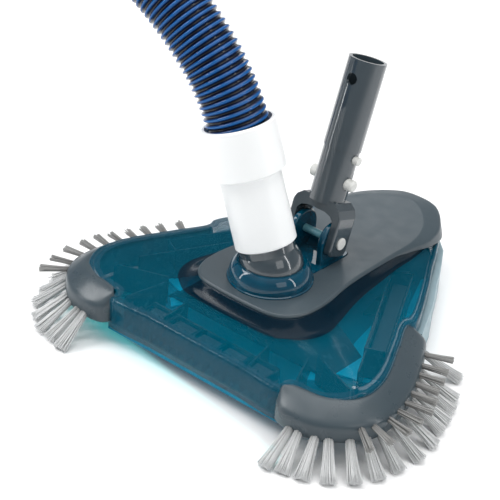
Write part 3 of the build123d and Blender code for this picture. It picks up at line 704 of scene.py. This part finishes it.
caps = []
for z, base_i in ((57.6, 0), (55.02, (len(cov) - 1) * n_ring)):
    rim_v = [bm.verts[base_i + i] for i in range(n_ring)]
    holes = [loop_of(port_hole(z)), loop_of(bracket_hole(z))]
    edges = []
    for lp in [rim_v] + holes:
        for i in range(len(lp)):
            pair = (lp[i], lp[(i + 1) % len(lp)])
            edges.append(bm.edges.get(pair) or bm.edges.new(pair))
    res = bmesh.ops.triangle_fill(bm, use_beauty=True, edges=edges)
    for g in res["geom"]:
        if isinstance(g, bmesh.types.BMFace):
            g.smooth = False
    caps.append(holes)
    bm.verts.ensure_lookup_table()
for up_l, lo_l in zip(caps[0], caps[1]):
    for i in range(len(up_l)):
        i2 = (i + 1) % len(up_l)
        bm.faces.new((up_l[i], up_l[i2], lo_l[i2], lo_l[i]))
bmesh.ops.recalc_face_normals(bm, faces=bm.faces)
bm.to_mesh(cover.data)
bm.free()
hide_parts("top_cover")
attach(cover, "root")

# ---------------------------------------------------------------------------
# brush holders: a sloping top rolled over a rounded rim
# ---------------------------------------------------------------------------
H_OUT = [(108, 20), (115, 9), (126, -11), (136, -32), (142, -50), (145.3, -65), (146.3, -80),
         (143.5, -93), (137, -104), (129, -112), (120, -118.5), (110, -122.5), (100, -124), (90, -123.6), (83, -121), (79.5, -116)]
H_IN = [(93.5, 13), (95.5, 5), (105.5, -15), (114.5, -34), (123.5, -53), (127, -66), (128, -77),
        (126.2, -85.5), (120.5, -93.5), (113, -99.8), (104, -103.2), (95, -104.2), (86, -106.5), (79.5, -112)]


def even(pts, n):
    dense = catmull(pts, 20, closed=False)
    acc = [0.0]
    for p, q in zip(dense, dense[1:]):
        acc.append(acc[-1] + math.dist(p, q))
    out, j = [], 0
    for i in range(n):
        s = acc[-1] * i / (n - 1)
        while j < len(acc) - 2 and acc[j + 1] < s:
            j += 1
        f = (s - acc[j]) / max(1e-9, acc[j + 1] - acc[j])
        out.append(tuple(a_ + (b_ - a_) * min(1, max(0, f)) for a_, b_ in zip(dense[j], dense[j + 1])))
    return out


STN = 84
outer_l, inner_l = even(H_OUT, STN), even(H_IN, STN)
SECTION = [(0.0, 18.0), (0.0, 30.0), (0.0, 40.6), (0.02, 41.6), (0.07, 42.0), (0.16, 41.9), (0.28, 41.1), (0.45, 39.2),
           (0.62, 36.9), (0.76, 34.9), (0.86, 33.4), (0.93, 32.0), (0.975, 30.4), (0.998, 28.4), (1.0, 26.0),
           (1.0, 22.0), (0.99, 19.4), (0.96, 18.2), (0.90, 18.0), (0.5, 18.0)]


def holder(side):
    vs, fs = [], []
    m = len(SECTION)
    stations = []
    for i, (p, q) in enumerate(zip(outer_l, inner_l)):
        stations.append((p, q, 0.0))
    ends = []
    for k, (idx, nxt) in enumerate(((0, 1), (STN - 1, STN - 2))):
        p, q = outer_l[idx], inner_l[idx]
        ends.append((p, q))
    rings_ = []
    for i, (p, q, _) in enumerate(stations):
        # the last few millimetres at each end round off
        s0 = math.dist(outer_l[0], p) if i < STN / 2 else math.dist(outer_l[-1], p)
        rd = 1.0 - min(1.0, s0 / 4.5)
        shr = 1.0 - math.sqrt(max(0.0, 1.0 - rd * rd))
        ring_ = []
        for f, z in SECTION:
            z2 = z - (z - 30.0) * 0.26 * shr if z > 30 else z + (30.0 - z) * 0.10 * shr
            f2 = 0.5 + (f - 0.5) * (1.0 - 0.20 * shr)
            ring_.append(V(side * (q[0] + (p[0] - q[0]) * f2), q[1] + (p[1] - q[1]) * f2, z2))
        rings_.append(ring_)
    for rg in rings_:
        vs.extend(rg)
    for j in range(len(rings_) - 1):
        for i in range(m):
            i2 = (i + 1) % m
            fs.append((j * m + i, j * m + i2, (j + 1) * m + i2, (j + 1) * m + i))
    fs.append(tuple(range(m)))
    fs.append(tuple((len(rings_) - 1) * m + i for i in range(m)))
    o = piece("holder_left" if side < 0 else "holder_right", vs, fs, "holder_plastic")
    normals_out(o)
    return o


# ---------------------------------------------------------------------------
# bristles: every tuft is a flared bundle of filaments
# ---------------------------------------------------------------------------
TIPS_LOW = [(134, 34), (145, 11), (152, -2), (158, -15), (162, -28), (168, -46), (171, -67), (169, -87),
            (164, -104), (155, -120), (141, -134), (126, -144), (111, -148), (98, -150)]
TIPS_SIDE = [(134, 16), (141, 2), (146, -10), (151, -23), (157, -35), (162, -46), (164, -61), (165, -77),
             (163, -95), (158, -111)]


def wall_at(tip):
    best = min(outer_l[1:-1], key=lambda q: math.dist(q, tip))
    d = math.dist(best, tip)
    return best[0], best[1], (tip[0] - best[0]) / d, (tip[1] - best[1]) / d


def bundle(vs, fs, at, root, tip, r0, r1, count, thick, flat=1.0, bend=0.0, uneven=1.0):
    axis = (tip - root)
    length = axis.length
    d = axis.normalized()
    across = d.cross(Vector((0, 0, 1))).normalized()
    other = across.cross(d).normalized()
    for _ in range(count):
        a_ = rng.uniform(0, 2 * math.pi)
        q = math.sqrt(rng.random())
        ox, oy = q * math.cos(a_), q * math.sin(a_) * flat
        wig = (rng.uniform(-0.5, 0.5) * uneven, rng.uniform(-0.5, 0.5) * uneven)
        full = 1.0 - 0.045 * rng.random() * uneven
        shade = rng.uniform(-0.12, 0.12)
        steps = 5
        start = len(vs)
        for s in range(steps + 1):
            f = s / steps
            g = f * full
            rad = r0 + (r1 - r0) * (0.35 * g + 0.65 * g * g)
            sag = bend * g * g
            c = (root + d * length * g + across * (ox * rad + wig[0] * g * g) * MM
                 + other * (oy * rad + wig[1] * g * g - sag) * MM)
            if c.z < 0.0003:
                c.z = 0.0003
            th = thick * (1.0 - 0.15 * g)
            for k in range(4):
                b_ = math.pi / 2 * k + a_
                vs.append(c + (across * math.cos(b_) + other * math.sin(b_)) * th * MM)
                # the along value, shifted at random per filament, places the painted shade near the root
                at.append(min(1.0, max(0.0, g + shade)))
        for s in range(steps):
            for k in range(4):
                k2 = (k + 1) % 4
                fs.append((start + s * 4 + k, start + s * 4 + k2, start + (s + 1) * 4 + k2, start + (s + 1) * 4 + k))
        e = start + steps * 4
        fs.append((e, e + 1, e + 2, e + 3))
        fs.append((start + 3, start + 2, start + 1, start))


for side in (-1, 1):
    word = "left" if side < 0 else "right"
    h = holder(side)
    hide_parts("brush_holder_" + word)
    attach(h, "root")
    vs, fs, at = [], [], []
    for tip in TIPS_LOW:
        wx, wy, nx, ny = wall_at(tip)
        jx, jy = rng.uniform(-1.2, 1.2), rng.uniform(-1.2, 1.2)
        bundle(vs, fs, at, V(side * (wx - 3 * nx), wy - 3 * ny, 22.0), V(side * (tip[0] + jx - 1.5 * nx), tip[1] + jy - 1.5 * ny, 0.6),
               2.9, 5.9, 84, 0.46, 0.72, bend=rng.uniform(-1.5, -0.4))
    o = piece("floor_tufts_" + word, vs, fs, "bristle")
    ab = o.data.attributes.new("along", "FLOAT", "POINT")
    ab.data.foreach_set("value", at)
    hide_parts("floor_bristles_" + word)
    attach(o, "root")
    vs, fs, at = [], [], []
    for tip in TIPS_SIDE:
        wx, wy, nx, ny = wall_at(tip)
        jx, jy = rng.uniform(-0.8, 0.8), rng.uniform(-0.8, 0.8)
        bundle(vs, fs, at, V(side * (wx - 3 * nx), wy - 3 * ny, 29.3), V(side * (tip[0] + jx), tip[1] + jy, 27.4),
               2.1, 3.3, 46, 0.40, 0.72, bend=rng.uniform(-0.3, 0.5), uneven=0.5)
    o = piece("side_tufts_" + word, vs, fs, "bristle_side")
    ab = o.data.attributes.new("along", "FLOAT", "POINT")
    ab.data.foreach_set("value", at)
    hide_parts("side_bristles_" + word)
    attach(o, "root")

# ---------------------------------------------------------------------------
# floor and light
# ---------------------------------------------------------------------------
bpy.ops.mesh.primitive_plane_add(size=14.0, location=(0, 0, -0.0002))
floor = bpy.context.object
floor.name = "floor"
fm = bpy.data.materials.new("floor")
fm.use_nodes = True
fb = fm.node_tree.nodes["Principled BSDF"]
fb.inputs["Base Color"].default_value = (0.97, 0.97, 0.97, 1)
fb.inputs["Roughness"].default_value = 0.7
fb.inputs["Specular IOR Level"].default_value = 0.2
floor.data.materials.append(fm)

world = bpy.data.worlds.new("studio")
world.use_nodes = True
wt = world.node_tree
bg = wt.nodes["Background"]
wc = wt.nodes.new("ShaderNodeTexCoord")
ws = wt.nodes.new("ShaderNodeSeparateXYZ")
wr = wt.nodes.new("ShaderNodeValToRGB")
wt.links.new(wc.outputs["Generated"], ws.inputs["Vector"])
wt.links.new(ws.outputs["Z"], wr.inputs["Fac"])
wr.color_ramp.elements[0].position = 0.0
wr.color_ramp.elements[0].color = (0.50, 0.52, 0.54, 1)
wr.color_ramp.elements[1].position = 0.85
wr.color_ramp.elements[1].color = (1.0, 1.0, 1.0, 1)
el = wr.color_ramp.elements.new(0.45)
el.color = (0.30, 0.32, 0.34, 1)
wt.links.new(wr.outputs["Color"], bg.inputs["Color"])
bg.inputs["Strength"].default_value = 0.80
bpy.context.scene.world = world
bpy.context.scene.view_settings.view_transform = "Standard"


def area(name, where, at_, size, power, size_y=None):
    ld = bpy.data.lights.new(name, "AREA")
    ld.energy = power
    ld.shape = "RECTANGLE"
    ld.size = size
    ld.size_y = size_y or size
    lo = bpy.data.objects.new(name, ld)
    lo.location = where
    lo.rotation_euler = (Vector(at_) - Vector(where)).to_track_quat("-Z", "Y").to_euler()
    bpy.context.collection.objects.link(lo)
    return lo


area("top", (-0.1, 0.1, 1.9), (0, 0, 0), 1.8, 22)
area("key", (-1.1, -0.7, 1.3), (0, 0, 0.05), 0.7, 11)
area("fill", (1.5, -0.5, 0.9), (0, 0, 0.05), 0.8, 3.5)
area("strip", (-0.75, 1.15, 0.95), (0, 0, 0.08), 0.16, 1.6, 1.2)
area("left_strip", (-1.05, -0.95, 0.62), (0, 0.03, 0.12), 0.10, 3.2, 1.1)
area("right_strip", (1.15, 0.35, 0.60), (0, 0.03, 0.12), 0.10, 3.0, 1.1)
glow = area("glow", tuple(V(-18, -116, 9)), tuple(V(-22, -140, -12)), 0.24, 0.009, 0.016)
glow.data.color = (0.02, 0.60, 0.60)
